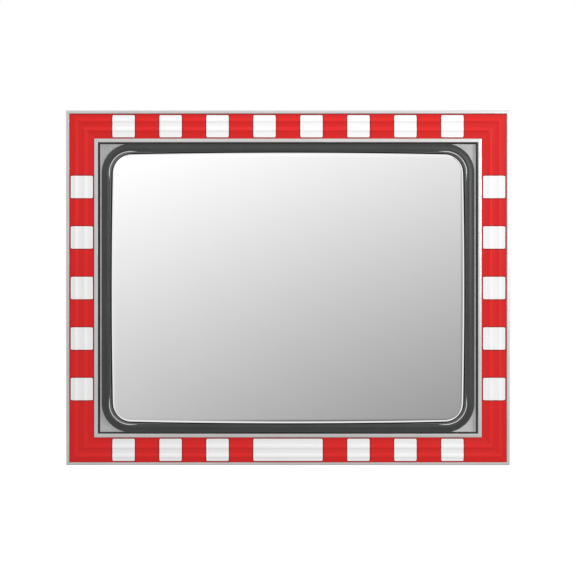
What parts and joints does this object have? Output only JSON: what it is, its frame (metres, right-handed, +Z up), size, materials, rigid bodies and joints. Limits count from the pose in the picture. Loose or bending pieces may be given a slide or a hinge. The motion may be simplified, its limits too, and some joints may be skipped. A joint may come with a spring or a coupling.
{
  "type": "convex mirror with wall arm",
  "caption": "Rectangular convex observation mirror in a ribbed red and white warning frame, on a wall arm with a post clamp that pans and a bracket that tilts.",
  "frame": {"origin": "middle of the wall plate's back face, on the wall", "axes": "the wall is the plane y = 0, the mirror looks along -Y at rest, +X is to the right seen from the front, +Z up"},
  "size_m": [1, 0.5199, 0.8],
  "materials": {
    "frame_aluminium": "satin, light grey extruded rail",
    "key_casting": "as-cast zinc alloy corner key",
    "red_sheeting": "retroreflective red sheeting, semi-gloss",
    "white_sheeting": "retroreflective white sheeting, semi-gloss",
    "mirror_face": "first-surface bright convex mirror",
    "ring_rubber": "dark grey extruded rubber, satin",
    "foam_tape": "black closed-cell bonding tape",
    "board_plastic": "recycled plastic sheet",
    "galvanised_sheet": "zinc coated sheet, faint spangle",
    "galvanised_bracket": "hot-dip galvanised, dull",
    "zinc_fasteners": "bright zinc plated",
    "nylon": "natural nylon",
    "cap_plastic": "black moulded plastic, fine grain"
  },
  "bodies": {
    "wall_arm": {"wall_plate": "galvanised_bracket", "arm_tube": "galvanised_bracket", "arm_gussets": "galvanised_bracket", "post_tube": "galvanised_bracket", "post_cap_top": "cap_plastic", "post_cap_bottom": "cap_plastic"},
    "swivel_clamp": {"clamp_front": "galvanised_bracket", "clamp_rear": "galvanised_bracket", "clamp_bolts": "zinc_fasteners", "clamp_washers": "zinc_fasteners", "clamp_nuts": "zinc_fasteners"},
    "mirror_head": {"rail_top": "frame_aluminium", "rail_bottom": "frame_aluminium", "rail_left": "frame_aluminium", "rail_right": "frame_aluminium", "corner_keys": "key_casting", "red_sheet_top": "red_sheeting", "red_sheet_bottom": "red_sheeting", "red_sheet_left": "red_sheeting", "red_sheet_right": "red_sheeting", "white_patches_top": "white_sheeting", "white_patches_bottom": "white_sheeting", "white_patches_left": "white_sheeting", "white_patches_right": "white_sheeting", "label_patch": "white_sheeting", "mirror_pane": "mirror_face", "edge_gasket": "ring_rubber", "bond_tape": "foam_tape", "backing_board": "board_plastic", "rear_pan": "galvanised_sheet", "frame_screws": "zinc_fasteners", "stiffener_upper": "galvanised_sheet", "stiffener_lower": "galvanised_sheet", "stiffener_screws": "zinc_fasteners", "tilt_bracket": "galvanised_bracket", "bracket_bolts": "zinc_fasteners", "bracket_washers": "zinc_fasteners", "bracket_nuts": "zinc_fasteners", "tilt_bolt": "zinc_fasteners", "tilt_washers": "zinc_fasteners", "tilt_nut": "zinc_fasteners", "friction_washers": "nylon"}
  },
  "joints": [
    {"name": "pan", "type": "hinge", "parent": "wall_arm", "child": "swivel_clamp", "pos_m": [0, -0.31, 0.15], "axis": [0, 0, 1], "range_deg": [-35, 35]},
    {"name": "tilt", "type": "hinge", "parent": "swivel_clamp", "child": "mirror_head", "pos_m": [0, -0.38, 0.15], "axis": [1, 0, 0], "range_deg": [-15, 25]}
  ]
}
